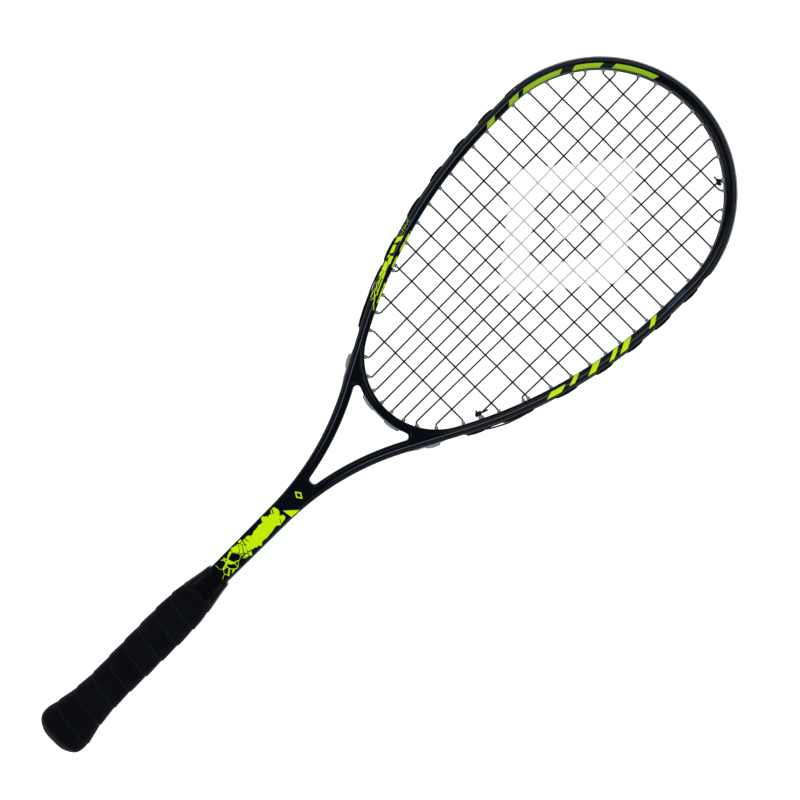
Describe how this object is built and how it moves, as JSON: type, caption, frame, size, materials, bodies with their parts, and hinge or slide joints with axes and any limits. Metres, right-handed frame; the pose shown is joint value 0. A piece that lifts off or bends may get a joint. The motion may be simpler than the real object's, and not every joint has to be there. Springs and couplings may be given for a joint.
{
  "type": "squash racket",
  "caption": "Strung squash racket with a teardrop head, open throat, slim shaft and wrapped flared handle.",
  "frame": {"origin": "centre of the butt cap's flat end", "axes": "+Y up the racket from the butt to the head's tip, +Z square to the string bed, +X across the head"},
  "size_m": [0.208, 0.6857, 0.0362],
  "materials": {
    "frame_gloss": "gloss lacquer over carbon fibre, with lime graphics",
    "guard_black": "moulded nylon, satin",
    "grommet_clear": "smoky translucent nylon",
    "string_black": "coated multifilament",
    "handle_foam": "rigid foam",
    "cap_plastic": "moulded plastic, satin",
    "staple_steel": "plated wire",
    "grip_pu": "tacky grained polyurethane wrap",
    "tape_black": "thin vinyl tape",
    "collar_rubber": "glossy elastic sleeve"
  },
  "bodies": {
    "root": {"frame_tube": "frame_gloss", "throat_bridge": "frame_gloss", "head_bumper_guard": "guard_black", "left_grommet_strip": "guard_black", "right_grommet_strip": "guard_black", "left_shoulder_grommet_strip": "grommet_clear", "right_shoulder_grommet_strip": "grommet_clear", "bridge_grommet_strip": "grommet_clear", "main_strings": "string_black", "cross_strings": "string_black", "tie_off_knot_top": "string_black", "tie_off_knot_bottom": "string_black", "pallet_front_half": "handle_foam", "pallet_back_half": "handle_foam", "shaft_end_plug": "handle_foam", "butt_cap": "cap_plastic", "butt_cap_staples": "staple_steel", "grip_start_staple": "staple_steel", "grip_wrap": "grip_pu", "finishing_tape": "tape_black", "grip_collar": "collar_rubber"}
  },
  "joints": []
}
